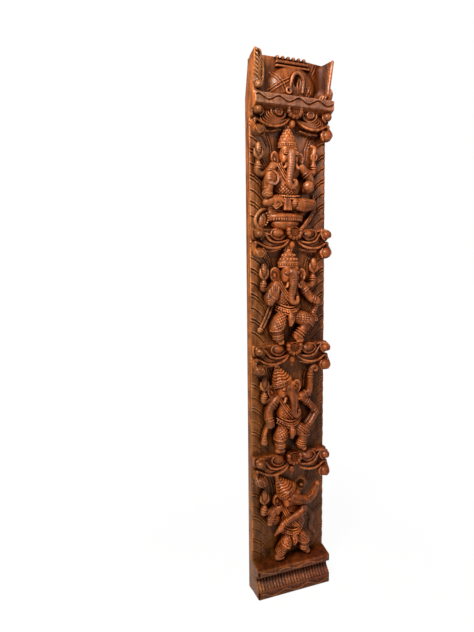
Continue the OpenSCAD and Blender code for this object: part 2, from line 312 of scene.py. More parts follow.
    def hollows(self, pts):
        """Shade of each point: how much wood lies close around it, at three reaches."""
        solid = np.clip(0.5 - self.d / VOXEL, 0, 1).astype(np.float32)
        wood = [blur(blur(solid, n), n) for n, step, weight, level in REACHES]
        grad = np.stack([sample(np.gradient(wood[0], axis=a), pts) for a in range(3)], axis=1)
        nor = -grad / np.maximum(np.linalg.norm(grad, axis=1, keepdims=True), 1e-6)
        shade = MID_SHADE
        for vol, (n, step, weight, level) in zip(wood, REACHES):
            shade = shade + weight * (sample(vol, pts + nor * step) - level)
        return shade


def blur(a, n):
    """Mean over 2n + 1 cells along each axis."""
    m = 2 * n + 1
    for axis in range(3):
        a = np.moveaxis(a, axis, 0)
        c = np.cumsum(np.pad(a, [(n + 1, n), (0, 0), (0, 0)], mode="edge"), axis=0, dtype=np.float64)
        a = np.moveaxis(((c[m:] - c[:-m]) / m).astype(np.float32), 0, axis)
    return a


def sample(vol, pts):
    """Values of a volume at places between its cells."""
    q = np.clip(pts, 0, np.array(vol.shape) - 1.001)
    i = q.astype(int)
    f = q - i
    out = 0.0
    for corner in np.ndindex(2, 2, 2):
        w = np.prod(np.where(corner, f, 1 - f), axis=1)
        out = out + w * vol[tuple((i + corner).T)]
    return out


def hand_over(name, verts, faces, cavity, smooth=True):
    """Make the object, with its shade as an attribute, attach it to the root body and hide the CAD part that
    it stands in for.
    """
    me = bpy.data.meshes.new(name)
    me.from_pydata(verts.tolist(), [], faces)
    me.polygons.foreach_set("use_smooth", np.full(len(me.polygons), smooth))
    at = me.attributes.new("cavity", "FLOAT", "POINT")
    at.data.foreach_set("value", np.asarray(cavity, np.float32))
    me.materials.append(WOOD)
    me.update()
    ob = bpy.data.objects.new(name, me)
    bpy.context.scene.collection.objects.link(ob)
    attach(ob, "root")
    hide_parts("carved_panel")


class Shader:
    """Nodes of a material or world; a value is a number, a colour or another node's output."""

    def __init__(self, owner):
        owner.use_nodes = True
        self.owner = owner
        self.tree = owner.node_tree

    def feed_all(self, node, values):
        for key, val in values.items():
            self.feed(self.tree.nodes[node].inputs[key], val)

    def node(self, kind, inputs=(), **props):
        n = self.tree.nodes.new(kind)
        for key, val in props.items():
            setattr(n, key, val)
        for key, val in dict(inputs).items():
            self.feed(n.inputs[key], val)
        return n

    def feed(self, socket, val):
        if isinstance(val, bpy.types.NodeSocket):
            self.tree.links.new(val, socket)
        elif socket.type == "RGBA":
            socket.default_value = (*val, 1.0)
        else:
            socket.default_value = val

    def camera_ray(self):
        return self.node("ShaderNodeLightPath").outputs["Is Camera Ray"]

    def maths(self, operation, *terms):
        return self.node("ShaderNodeMath", dict(enumerate(terms)), operation=operation).outputs[0]

    def spread(self, value, a, b, lo=0.0, hi=1.0):
        """lo where the value is a, hi where it is b."""
        return self.node("ShaderNodeMapRange", {"Value": value, "From Min": a, "From Max": b, "To Min": lo,
                                                "To Max": hi}).outputs["Result"]

    def ramp(self, value, stops):
        n = self.node("ShaderNodeValToRGB", {"Fac": value})
        e = n.color_ramp.elements
        while len(e) < len(stops):
            e.new(0.5)
        for el, (pos, col) in zip(e, stops):
            el.position = pos
            el.color = (*col, 1.0)
        return n.outputs["Color"]

    def blend(self, share, a, b, kind="MIX"):
        n = self.node("ShaderNodeMix", {"Factor": share}, data_type="RGBA", blend_type=kind)
        self.feed(n.inputs["A"], a)
        self.feed(n.inputs["B"], b)
        return n.outputs["Result"]

    def times(self, first, *others):
        for c in others:
            first = self.blend(1.0, first, c, "MULTIPLY")
        return first


PLAIN = (1.0, 1.0, 1.0)
SIDE_X = 0.0938  # the plain sides lie past this, in metres


def colour_and_painted_light(s, x, y, z, flank):
    """Tint by place, mostly painted light: ground, raised carving and plain sides, each redder or more olive
    and darker further down, which is painted shade.
    """
    height = s.spread(z, 0.1, 1.0)

    def by_height(low, high):
        return s.blend(height, low, high)

    def tint_towards(colour, value, a, b, tint):
        """Colour times a tint that comes in as the value goes from a to b."""
        return s.times(colour, s.blend(s.spread(value, a, b), PLAIN, tint))

    # painted light on the ground: a pale painted sheen at the top that turns olive and darker lower down, a
    # pale pink painted reflection at the upper left, and red, dark painted shade at the right
    ground = by_height((0.82, 0.88, 0.56), (1.10, 1.10, 1.08))
    ground = tint_towards(ground, x, -0.04, -0.07, by_height((0.72, 0.62, 0.34), (1.30, 1.55, 1.90)))
    ground = tint_towards(ground, x, 0.02, 0.06, by_height((0.62, 0.50, 0.36), (0.95, 0.82, 0.70)))
    # raised carving: redder further down, with an olive painted reflection at the left and red, darker
    # painted shade at the right
    raised = by_height((1.04, 0.82, 0.56), (1.08, 0.98, 0.88))
    raised = tint_towards(raised, x, -0.045, -0.085, (0.80, 0.88, 0.72))
    raised = tint_towards(raised, x, 0.015, 0.055, by_height((0.82, 0.64, 0.42), (0.96, 0.84, 0.70)))
    # painted light: the bodies in the niches are painted brighter, and the frontmost faces, such as the face
    # of the cornice, take a pink painted highlight higher up
    body = s.maths("MULTIPLY", s.spread(x, 0.030, 0.010), s.spread(x, -0.050, -0.028))
    niche = s.maths("MULTIPLY", s.spread(z, 0.075, 0.10), s.spread(z, 1.10, 1.07))
    bright = by_height((1.42, 1.30, 0.88), (1.46, 1.50, 1.56))
    raised = s.times(raised, s.blend(s.maths("MULTIPLY", body, niche), PLAIN, bright))
    raised = tint_towards(raised, y, -0.0287, -0.0290, by_height(PLAIN, (1.02, 1.42, 3.0)))
    tinted = s.blend(s.spread(y, 0.006, -0.006), ground, raised)
    # the plain sides are painted bright orange, painted light on faces that catch the lamp, darker further
    # down
    tinted = s.blend(flank, tinted, by_height((1.00, 0.86, 0.24), (1.42, 1.20, 0.76)))
    # the plinth is darker
    return tint_towards(tinted, z, 0.10, 0.07, (0.70, 0.68, 0.58))


def make_wood():
    """Varnished wood: dark in its hollows from patina and painted shade, with upright grain, colour and
    painted light by place, and facets of the gouge.
    """
    s = Shader(bpy.data.materials.new("carved_wood"))
    where = s.node("ShaderNodeTexCoord").outputs["Object"]
    cavity = s.node("ShaderNodeAttribute", attribute_name="cavity").outputs["Fac"]
    place = s.node("ShaderNodeSeparateXYZ", {0: where})
    x, y, z = (place.outputs[axis] for axis in "XYZ")
    flank = s.maths("GREATER_THAN", s.maths("ABSOLUTE", x), SIDE_X)

    def noise(scale, detail, stretch):
        drawn = s.node("ShaderNodeMapping", {"Vector": where, "Scale": stretch}).outputs["Vector"]
        return s.node("ShaderNodeTexNoise", {"Vector": drawn, "Scale": scale, "Detail": detail,
                                             "Roughness": 0.6}).outputs["Fac"]

    def by_cavity(lo, hi):
        return s.spread(cavity, 0.1, 0.6, lo, hi)

    streak = noise(160.0, 4.0, (1.0, 1.0, 0.04))
    band = noise(22.0, 3.0, (1.0, 1.0, 0.15))
    blotch = noise(14.0, 4.0, PLAIN)
    speck = noise(75.0, 3.0, (1.0, 1.0, 0.6))
    # the shade of the hollows, with random blotches, darkens the colour: dark patina in narrow hollows,
    # painted shade in deep recesses and near high relief
    depth = s.maths("SUBTRACT", s.maths("MULTIPLY_ADD", blotch, 0.30, cavity), 0.15)
    tone = s.ramp(depth, [(0.02, (0.47, 0.190, 0.080)), (0.15, (0.285, 0.092, 0.028)),
                          (0.33, (0.170, 0.049, 0.012)), (0.50, (0.080, 0.0195, 0.0035)),
                          (0.78, (0.030, 0.0065, 0.001))])
    grain = s.ramp(streak, [(0.32, (0.50, 0.44, 0.40)), (0.52, PLAIN), (0.72, (1.22, 1.19, 1.15))])
    tint = s.ramp(band, [(0.3, (0.78, 0.72, 0.68)), (0.7, (1.15, 1.1, 1.05))])
    mottle = s.ramp(speck, [(0.34, (0.58, 0.53, 0.48)), (0.5, PLAIN), (0.66, (1.34, 1.33, 1.32))])
    facet = s.node("ShaderNodeTexVoronoi", {"Vector": where, "Scale": 190.0}).outputs["Distance"]
    gouge = s.node("ShaderNodeBump", {"Height": facet, "Strength": 0.60, "Distance": 0.0012})
    bump = s.node("ShaderNodeBump", {"Height": streak, "Strength": 0.18, "Distance": 0.0006,
                                     "Normal": gouge.outputs["Normal"]})
    # polished where hands reach, dull in the hollows and without varnish on the sides
    s.feed_all("Principled BSDF", {
        "Base Color": s.times(tone, grain, tint, colour_and_painted_light(s, x, y, z, flank), mottle),
        "Roughness": s.maths("ADD", by_cavity(0.33, 0.62), s.spread(band, 0.3, 0.7, -0.05, 0.08)),
        "Specular IOR Level": by_cavity(0.55, 0.03),
        "Specular Tint": (1.0, 0.74, 0.54),
        "Coat Weight": s.maths("MULTIPLY", by_cavity(0.34, 0.0), s.spread(flank, 1.2, 0.0)),
        "Coat Tint": (1.0, 0.90, 0.78),
        "Coat Roughness": 0.27,
        "Normal": bump.outputs["Normal"]})
    return s.owner


WOOD = make_wood()


# Shared parts of the figures
def along(pts, t):
    """Point at fraction t of a polyline."""
    q = [np.array(a, float) for a in pts]
    lengths = [np.linalg.norm(b - a) for a, b in zip(q[:-1], q[1:])]
    left = t * sum(lengths)
    for a, b, length in zip(q[:-1], q[1:], lengths):
        if left <= length:
            return a + (b - a) * left / length
        left -= length
    return q[-1]


def bangle(c, pts, t, r):
    """Ring round a limb: a thin disc across its line."""
    a, b = along(pts, max(0, t - 0.02)), along(pts, min(1, t + 0.02))
    m, v = (a + b) / 2, (b - a) / max(np.linalg.norm(b - a), TINY)
    edge = 1.4

    def f(x, p, z):
        d = [x - m[0], p - m[1], z - m[2]]
        h = d[0] * v[0] + d[1] * v[1] + d[2] * v[2]
        far = np.sqrt(np.maximum(d[0] ** 2 + d[1] ** 2 + d[2] ** 2 - h * h, 0))
        return np.sqrt(np.maximum(far - r + edge, 0) ** 2 + h * h) - edge
    c.put(m - r, m + r, f, 0.3)


def web(c, pts, rs):
    """Wood left standing behind a limb, down to the field."""
    c.curve([(x, 0.4 * p, z) for x, p, z in pts], [0.8 * r for r in rs], 0.8)


WRIST = (0.9,)


def arm(c, pts, rs, bands=(0.3, *WRIST)):
    """Arm with a pair of rings at each band."""
    web(c, pts, rs)
    c.curve(pts, rs, 0.9)
    for t in bands:
        r = np.interp(t, np.linspace(0, 1, len(rs)), rs)
        for o in (-0.05, 0.05):
            bangle(c, pts, t + o, r + 1.9)


def open_hand(c, at, lean, size):
    """Raised hand with its palm to the front."""
    point = leaning_point(at, lean)

    def q(u, v, w):
        return point(size * u, w, size * v)
    c.egg(at, (10 * size, 5, 11 * size), 1.5, lean)
    for u, top in ((-6.5, 17), (-2.2, 21), (2.2, 21), (6.5, 18)):
        c.limb([q(u, 6, 1), q(u * 1.1, top, -0.5)], [2.5 * size, 2.1 * size], 0.7)
    c.limb([q(-9, -1, 1), q(-13, 9, 0)], [2.8 * size, 2.2 * size], 1.0)
    c.egg(q(0, -1, 4.2), (3.4 * size, 2, 3.4 * size), 0.8)


def bud(c, at, h):
    """Ribbed bud with two side leaves on a stem."""
    x, p, z = at
    web(c, [(x, p, z - h * 0.5), (x, p, z + h * 0.25)], [6, 6])
    c.egg((x, p, z + h * 0.12), (7, 7, h * 0.42), 1.0)
    for s in (-1, 1):
        c.curve([(x, p, z - h * 0.45), (x + s * 8, p + 1, z - h * 0.2), (x + s * 9, p, z + h * 0.14)],
                [3, 4, 1.6], 1.0)
    for k in range(4):
        v = z - h * 0.1 + k * h * 0.14
        c.line([(x - 7, v + 2), (x, v - 1.5), (x + 7, v + 2)], 2.2, 0.9, 4)
    c.limb([(x, p - 2, z - h * 0.4), (x, p - 3, z - h * 0.75)], [4, 4], 1.5)


def ear(c, at, w, h, lean, side):
    """Hollow ear with a rim; side is -1 at the left of the head."""
    x, p, z = at
    c.egg((x, p, z), (w, 7, h), 2.0, lean)
    c.egg((x + side * w * 0.08, p + 8.5, z), (w * 0.70, 6.0, h * 0.70), 1.5, lean, cut=True)
    c.ring((x, p + 4.5, z), w * 0.86, 1.7, 0.4, h / w, lean)
    c.egg((x + side * w * 0.1, p + 2.5, z - h * 0.1), (w * 0.28, 3.0, h * 0.36), 0.6, lean)
    for k in (-1, 0, 1):
        c.line([(x - side * w * 0.5, z + k * 3), (x + side * w * 0.9, z + k * h * 0.55)], 1.8, 0.7, 4)


def face(c, at, lean=0.0, turn=0.0):
    """Skull, brow, cheeks and eyes of an elephant head."""
    x, p, z = at
    c.egg((x, 3, z), (19, 12, 19), 1.0, lean)
    c.egg((x, p - 2, z), (22, 15, 22), 3.0, lean)
    for s in (-1, 1):
        c.egg((x + s * 9 + turn, p + 5, z + 11), (10, 9, 9), 4.0, lean)
        c.egg((x + s * 13 + turn * 0.5, p + 3, z - 9), (8, 10, 11), 4.0, lean)
        ex, ez = x + s * 12 + turn, z + 2
        c.egg((ex, p + 12.4, ez), (6.0, 3.6, 3.8), 0.5, s * -12)
        lid = [(-6, min(0, 2 * s)), (-2, 3.6), (2, 3.6), (6, min(0, -2 * s))]
        c.line([(ex + u, ez + v) for u, v in lid], 2.4, -2.0, p)
        c.line([(ex - 6, ez - 1), (ex, ez - 4.6), (ex + 6, ez - 1)], 2.2, 1.6, p)
        c.line([(ex - 4, ez), (ex + 4, ez)], 2.2, 1.8, p)
        c.line([(x + s * 5 + turn, z + 17), (x + s * 13 + turn, z + 10), (x + s * 20, z + 8)], 2.2, 0.9, p)


def trunk(c, pts, rs=(10.5, 9.6, 8.2, 7.0, 6.2, 5.4, 4.6)):
    """Trunk with rings cut across its upper part."""
    c.curve(pts, rs, 2.5, 6)
    for t in np.linspace(0.16, 0.62, 9):
        a, b = along(pts, t), along(pts, t + 0.02)
        v = np.array([b[2] - a[2], 0, a[0] - b[0]])
        v = v / max(np.linalg.norm(v), TINY) * 8
        ring = [(a[0] - v[0], a[2] - v[2] - 1), (a[0], a[2]), (a[0] + v[0], a[2] + v[2] - 1)]
        c.line(ring, 2.4, 1.1, a[1] - 2)


def tusk(c, pts, rs=(4, 3.2, 1.6), k=1.0):
    c.curve(pts, rs, k)


def ridges(v, a):
    """Wavy ridges round a crown, by height and angle."""
    bend = 2.6 * np.sin(a) + 1.2 * np.sin(4 * a)
    return 1.7 * ease(v, 4, 7) * np.cos(2 * math.pi * (v + bend) / 6.4)


def pebbles(v, a):
    """Rows of pebbles round a crown, each row shifted by half a pebble."""
    row = np.floor(v / 7.0 + 0.5)
    pebble = np.abs(np.cos(math.pi * v / 7.0) * np.cos(4.5 * a + 1.57 * row))
    return 2.6 * ease(v, 6, 9) * np.sqrt(pebble) - 1.2 * ease(v, 6, 9)


# Tall crowns: relief, then (height, radius) as shares of the whole, but heights over 1 are in millimetres
MITRES = {
    "bell": (None, ((-6, 0.94), (3, 1.0), (0.2, 0.97), (0.36, 0.80), (0.44, 0.70), (0.62, 0.56), (0.72, 0.38),
                    (0.9, 0.26), (1.0, 0.10))),
    "ridge": (ridges, ((-6, 0.96), (3, 1.02), (0.3, 0.80), (0.6, 0.52), (0.85, 0.27), (1.0, 0.10))),
    "pebble": (pebbles, ((-6, 0.96), (3, 1.0), (0.3, 0.86), (0.55, 0.64), (0.8, 0.40), (1.0, 0.14))),
}


def mitre(c, at, r, h, lean, style):
    """Tall crown: bead band, tiers or a pebbled cone, with a knob."""
    press = 0.78
    q = leaning_point(at, lean)
    wave, shares = MITRES[style]
    prof = [(v if abs(v) > 1 else v * h, f * r) for v, f in shares]
    hs, fs = [v for v, f in prof], [f for v, f in prof]
    c.turned(at, lean, prof, press, wave, 1.0)

    def round_front(v, f, turn, n):
        return [q(f * math.sin(t), press * f * math.cos(t), v) for t in np.linspace(-turn, turn, n)]

    def bead_row(v, n, size, turn=1.25):
        for at_bead in round_front(v, np.interp(v, hs, fs), turn, n):
            c.egg(at_bead, size, 0.3)
    # brow band: two fillets with beads between them
    for v in (-3.5, 4.5):
        c.limb(round_front(v, np.interp(v, hs, fs) + 0.6, 1.5, 13), [1.7] * 13, 0.2)
    bead_row(0.6, 12, (2.3, 2.2, 2.2), 1.35)
    if style == "bell":
        bead_row(h * 0.30, 7, (3.2, 3.2, 3.4))
        bead_row(h * 0.52, 5, (3.0, 3.0, 3.2))
        bead_row(h * 0.78, 3, (2.6, 2.6, 3.0))
    c.egg(q(0, 2, h * 0.98), (4.5, 4.5, 5), 1.0, lean)


def creases(v, step, width):
    """1 on lines that are a step apart, falling to 0 between them."""
    return np.exp(-((1 - np.abs((v / step) % 1.0 - 0.5) * 2) / width) ** 2)


def quilt(c, at, r, lean=0.0):
    """Crossed lines of a patterned cloth."""
    def f(u, v):
        return 2.2 * np.maximum(creases(u + v, 8.0, 0.35), creases(u - v, 8.0, 0.35))
    c.pattern(at, r, f, lean, 6)


def folds(c, at, r, lean=0.0, step=6.0):
    """Parallel folds of a cloth."""
    c.pattern(at, r, lambda u, v: 2.0 * creases(v, step, 0.4), lean, 6)


def leg(c, hip, knee, ankle, rs, out, toe):
    """Bent leg with rings at knee and ankle; the foot turns out to the side given, by toe."""
    top = (hip[0] * 0.9, 10, hip[2] - 9)
    web(c, [top, knee, ankle], rs)
    c.curve([top, [0.35 * a + 0.65 * b for a, b in zip(top, knee)], knee], [rs[0] * 0.82, rs[0], rs[1]], 1.2)
    c.curve([knee, [(a + b) / 2 for a, b in zip(knee, ankle)], ankle],
            [rs[1] * 0.92, rs[1] * 0.8, rs[2]], 0.8)
    bangle(c, [knee, ankle], 0.10, rs[1] + 2.2)
    for t in (0.64, 0.79, 0.94):
        bangle(c, [knee, ankle], t, rs[2] + 2.8)
    x, p, z = ankle
    c.curve([(x, p - 2, z - 4), (x + out * 7, p + 2, z - 8), (x + toe, p + 3, z - 10)], [7.5, 7, 5], 1.5)
    for k in range(4):
        heel, tip = x + toe - out + out * (k - 1.5) * 2.2, x + toe + out * (k - 1.0) * 2.6
        c.line([(heel, z - 5), (tip, z - 15)], 1.4, 0.8, p)


def beaded_belt(c, x, z, half, p, r=2.2, sag=4.0):
    for s in np.linspace(-1, 1, 15):
        c.egg((x + s * half, p - 16 * s * s, z - sag * (1 - s * s)), (r, r, r), 0.3)


def cords(c, pts, r, n=1, step=(0, 0, 0)):
    """One or more cords laid side by side."""
    for i in range(n):
        c.curve([[a + i * b for a, b in zip(q, step)] for q in pts], [r] * len(pts), 0.4)


def belt(c, x, z, half, back, sag, r, n):
    """Cord hung round the front of the body, its ends further back."""
    cords(c, [(x + s * half, 29 - back * s * s, z - sag * (1 - s * s)) for s in np.linspace(-1, 1, n)], r)


def torso(c, x, z, cloth):
    """Chest, belly, belts and hanging cloth of a standing figure; z is the belt."""
    c.egg((x, 9, z + 26), (31, 20, 28), 4.0)
    c.egg((x, 8, z + 56), (33, 15, 21), 6.0)
    c.egg((x, 10, z - 2), (28, 17, 16), 5.0)
    for dz in (10.5, 0.0):
        belt(c, x, z + dz, 30, 18, 11, 1.9, 11)
    beaded_belt(c, x, z + 5.5, 29, 30, 2.8, 11.0)
    belt(c, x, z + 15, 26, 13, 9, 1.6, 9)
    c.curve([(x, 27, z - 8), (x, 31, z - cloth * 0.6), (x, 28, z - cloth)], [5.5, 8, 5], 0.8)
    for k in (-1, 1):
        c.line([(x + k * 2, z - 10), (x + k * 3.4, z - cloth - 6)], 2.2, 1.4, 10)
    c.limb([(x - 8, 30, z - cloth * 0.62), (x + 8, 30, z - cloth * 0.62)], [1.6, 1.6], 0.3)
    # necklaces and the cords across the chest
    for dz, half in ((64, 21), (57, 17)):
        turn = np.linspace(-1.4, 1.4, 13)
        c.line([(x + half * math.sin(a), z + dz - 15 * math.cos(a)) for a in turn], 2.6, -2.0, 6)
    cords(c, [(x - 30, 19, z + 62), (x - 22, 25, z + 44), (x - 10, 29, z + 26), (x + 2, 28, z + 12)],
          1.6, 3, (4.6, 0.6, 0.6))


def groove(c, pts, proud, pmin=BEHIND):
    """Line that stands proud over a cut, or a cut with a raised edge over it."""
    if proud:
        c.line(pts, 2.8, -1.3, pmin)
        c.line([(x, v - 2.8) for x, v in pts], 2.4, 1.0, pmin)
    else:
        c.line(pts, 3.0, 2.1, pmin)
        c.line([(x, v + 3.0) for x, v in pts], 2.8, -1.5, pmin)


def rays(c, proud):
    """Rays that curve in from both sides of the ground, by turns long pairs and short single lines."""
    for s in (-1, 1):
        for k in range(8):
            z = 236 - k * 28
            long = k % 2 == 0
            for o in ((-3.6, 3.6) if long else (0,)):
                pts = [(s * 93, z - 1 + o), (s * 84, z - 4 + o), (s * 72, z - 13 + o), (s * 62, z - 25 + o)]
                if long:
                    pts.append((s * 54, z - 40 + o))
                groove(c, pts, proud)
        for o in (0, 6):
            beside = [(60, 230), (47, 210), (40, 190), (38, 168)]
            c.line([(s * (x + o), z) for x, z in beside], 3.0, 2.0)


def niche_ground(i):
    """Board with rays; neighbours overlap a little, one set back from the other, so that no seam shows."""
    c = Carving(-12, -3, PITCH + 3, HALF + 3)
    back = 0.15 * (i % 2)
    side = HALF - 0.3 - back
    c.box((-side, -10.0, -1.5), (side, -back, PITCH + 2.4), 0.5)
    rays(c, i > 2)
    return c


def seated_figure(c):
    # lotus seat
    c.egg((-14, 6, 26), (35, 25, 20), 2.0)
    c.slab([(-55, 27), (27, 27), (29, 47), (-57, 47)], 0, 20, 3.0, r=6)
    c.egg((-14, 14, 37), (41, 18, 10), 3.0)
    for z in (31, 38):
        for s in np.linspace(-1, 1, 15):
            c.egg((-14 + s * 38, 12 + 18 * math.sqrt(max(0, 1 - s * s)), z), (2.6, 2.4, 3.0), 0.5)
    c.line([(-56, 46), (28, 46)], 2.2, 1.2, 6)
    c.line([(-56, 26), (28, 26)], 3.0, 2.0, 6)
    # leaf scroll at the left and sweep at the right of the seat
    c.curve([(-60, 11, 55), (-76, 12, 48), (-87, 12, 30), (-80, 13, 11), (-66, 14, 2), (-52, 15, -4)],
            [3.4, 3.8, 3.8, 3.6, 3.2, 2.6], 0.8)
    c.egg((-67, 5, 29), (11, 8, 20), 3.0, 14)
    for q in ((-60, 13, 44), (-57, 14, 39), (-56, 14, 34), (-57, 14, 29), (-59, 14, 24), (-62, 13, 19)):
        c.egg(q, (2.4, 2.4, 2.4), 0.6)
    c.line([(-72, 44), (-66, 32), (-68, 16)], 2.5, 1.4, 2)
    c.curve([(61, 3, 84), (63, 5, 66), (56, 7, 46), (42, 9, 28), (27, 14, 14), (15, 18, 6)],
            [3, 5, 6, 6, 4.5, 3], 3.0)
    c.curve([(60, 8, 74), (58, 11, 58), (48, 13, 42), (36, 15, 27), (24, 18, 14)],
            [1.2, 1.7, 1.9, 1.9, 1.4], 0.4)
    c.slab([(-57, 43), (30, 43), (40, 62), (-60, 62)], 0, 22, 3.0, r=5)
    for dz in (48, 53):
        c.line([(-56, dz), (-30, dz - 1), (0, dz - 1), (34, dz)], 2.2, 1.4, 8)
    # folded legs
    c.curve([(-4, 16, 63), (22, 22, 65), (46, 18, 67)], [13, 13.5, 11], 1.2)
    c.curve([(46, 18, 61), (26, 25, 55), (8, 27, 56)], [8.5, 7.5, 5.5], 0.6)
    c.curve([(-16, 14, 64), (-40, 19, 71), (-60, 16, 67)], [13, 12.5, 10.5], 1.2)
    c.line([(14, 76), (24, 69), (40, 70), (54, 66)], 2.2, 1.6, 10)
    c.line([(16, 79), (30, 76), (44, 77), (54, 73)], 2.2, -1.4, 10)
    c.line([(-66, 72), (-56, 76), (-42, 80), (-30, 76)], 2.2, 1.4, 10)
    c.slab([(-53, 59), (-38, 71), (-29, 62), (-44, 51)], 12, 31, 1.0, r=2)
    c.line([(-49, 59.5), (-38, 67.5), (-33, 62), (-44, 55), (-49, 59.5)], 2.4, 2.0, 10)
    for o in (0, 5):
        c.line([(-34 + o, 72 - o), (-26 + o, 62), (-30 + o, 54)], 2.2, 1.4, 10)
    c.egg((2, 27, 66), (8, 8, 10), 0.8)
    for dz in (62, 67, 71):
        c.line([(-5, dz), (8, dz + 1)], 1.6, 1.2, 20)
    c.slab([(-24, 76), (-10, 76), (-6, 50), (-26, 50)], 10, 32, 1.5, r=2)
    for u in (-20, -16, -12):
        c.line([(u, 76), (u + (u + 16) * 0.4, 50)], 1.5, 0.7, 10)
    c.line([(6, 74), (10, 64), (6, 54)], 2.2, -1.4, 10)
    # body
    c.egg((-11, 10, 103), (33, 20, 28), 4.0)
    c.egg((-10, 8, 138), (34, 16, 21), 6.0)
    quilt(c, (-18, 92), (26, 15))
    for dz, r in ((84, 2.4), (79, 2.0)):
        beaded_belt(c, -11, dz, 30, 31, r)
    cords(c, [(-38, 20, 150), (-30, 25, 132), (-20, 29, 114), (-8, 30, 96)], 1.6, 3, (4.6, 0.6, 0.6))
    # arms
    arm(c, [(-43, 12, 146), (-58, 17, 116), (-60, 21, 88)], [10.5, 10, 9])
    c.egg((-61, 20, 85), (13, 12, 10), 2.0)
    for o in (0, 5):
        c.line([(-73, 91 - o), (-61, 86 - o), (-49, 91 - o)], 2.4, 1.6, 8)
    for o in (0, 6, 12):
        c.line([(-54, 140 - o), (-44, 136 - o), (-36, 140 - o)], 2.2, 1.3, 12)
    arm(c, [(-60, 22, 90), (-58, 27, 100), (-56, 28, 108)], [8, 7.5, 7], WRIST)
    c.egg((-55, 25, 116), (13, 10, 17), 1.5)
    c.curve([(-50, 31, 132), (-42, 31, 124), (-42, 33, 112), (-50, 34, 104), (-56, 34, 110)],
            [2, 2.8, 3, 2.6, 2], 0.5)
    for k in range(3):
        c.line([(-66, 124 - k * 7), (-58, 126 - k * 7), (-50, 121 - k * 6)], 2.0, 1.0, 20)
    arm(c, [(-44, 7, 146), (-64, 8, 128), (-80, 9, 134), (-79, 11, 150)], [8, 7, 7, 6], WRIST)
    bud(c, (-78, 11, 176), 36)
    arm(c, [(25, 12, 146), (46, 15, 122), (44, 19, 104), (37, 22, 98)], [10.5, 9.5, 9, 8])
    c.egg((37, 25, 105), (13, 11, 12), 1.5)
    c.line([(25, 108), (37, 105), (49, 108)], 2.0, 1.0, 8)
    arm(c, [(26, 7, 148), (46, 8, 138), (58, 9, 140), (58, 10, 154)], [8, 7, 6.5, 6], WRIST)
    c.curve([(58, 10, 154), (57, 11, 176), (60, 11, 190), (52, 11, 196)], [4, 5, 5, 3], 1.2)
    c.ring((58, 12, 172), 7, 2.2)
    # head
    face(c, (-9, 18, 170))
    ear(c, (-38, 8, 162), 10, 16, -12, -1)
    ear(c, (21, 8, 162), 10, 16, 12, 1)
    trunk(c, [(-8, 27, 174), (-9, 30, 150), (-12, 30, 126), (-13, 30, 110), (-7, 30, 102), (1, 31, 105),
              (1.5, 31, 113), (-4, 31, 115)], [9.5, 8.8, 7.4, 6.4, 5.8, 5.0, 4.2, 3.4])
    tusk(c, [(-18, 27, 150), (-22, 30, 143), (-26, 31, 141)])
    tusk(c, [(3, 27, 150), (8, 29, 142), (13, 29, 141)])
    mitre(c, (-9, 12, 190), 22, 42, 0, "pebble")


def dancing_figure(c):
    torso(c, -8, 90, 33)
    quilt(c, (-8, 108), (24, 12))
    leg(c, (-22, 16, 88), (-42, 24, 50), (-36, 20, 26), (17, 14, 10.5), 1, 4)
    leg(c, (10, 16, 86), (40, 24, 62), (14, 20, 28), (17, 14, 10.5), 1, 0)
    quilt(c, (-32, 70), (19, 27), 28)
    quilt(c, (24, 75), (24, 15), -38)
    # ribbons
    for o in (0, 8):
        c.curve([(-42 - o, 3, 98), (-50 - o, 2, 76), (-61 - o, 1.5, 54), (-69 - o, 1, 42)],
                [3.0, 3.2, 3.2, 2.6], 0.3)
    c.egg((-72, 2, 44), (8, 7, 7), 1.0)
    folds(c, (-72, 44), (9, 9), 40)
    c.curve([(58, 18, 108), (64, 15, 92), (58, 13, 78), (64, 12, 64)], [7, 5, 6, 7], 1.5)
    folds(c, (61, 82), (9, 24), 10)
    arm(c, [(-38, 13, 146), (-56, 16, 122), (-56, 22, 108)], [10.5, 9.5, 9])
    arm(c, [(-56, 22, 108), (-52, 27, 114), (-49, 28, 120)], [8, 7.5, 7], WRIST)
    open_hand(c, (-48, 29, 124), 6, 1.05)
    arm(c, [(-38, 7, 150), (-54, 8, 138), (-68, 9, 138), (-67, 11, 152)], [8, 7, 7, 6], WRIST)
    bud(c, (-66, 11, 176), 40)
    arm(c, [(24, 13, 146), (41, 16, 124), (48, 19, 114), (58, 21, 110)], [10.5, 9.5, 8.5, 7.5])
    c.egg((61, 22, 108), (9, 9, 9), 1.2)
    arm(c, [(24, 7, 150), (44, 8, 142), (58, 9, 148), (58, 10, 164)], [8, 7, 6.5, 6], WRIST)
    bud(c, (59, 11, 188), 34)
    face(c, (-6, 18, 170))
    ear(c, (-38, 8, 168), 14, 18, -14, -1)
    ear(c, (25, 8, 166), 12, 17, 14, 1)
    trunk(c, [(-4, 27, 174), (-3, 30, 150), (-6, 30, 130), (-8, 30, 116), (-3, 30, 107), (6, 30, 109),
              (7, 30, 117)])
    tusk(c, [(-14, 27, 150), (-18, 30, 143), (-22, 31, 141)])
    tusk(c, [(8, 27, 150), (13, 29, 142), (18, 29, 141)])
    mitre(c, (-8, 12, 190), 24, 42, 0, "bell")


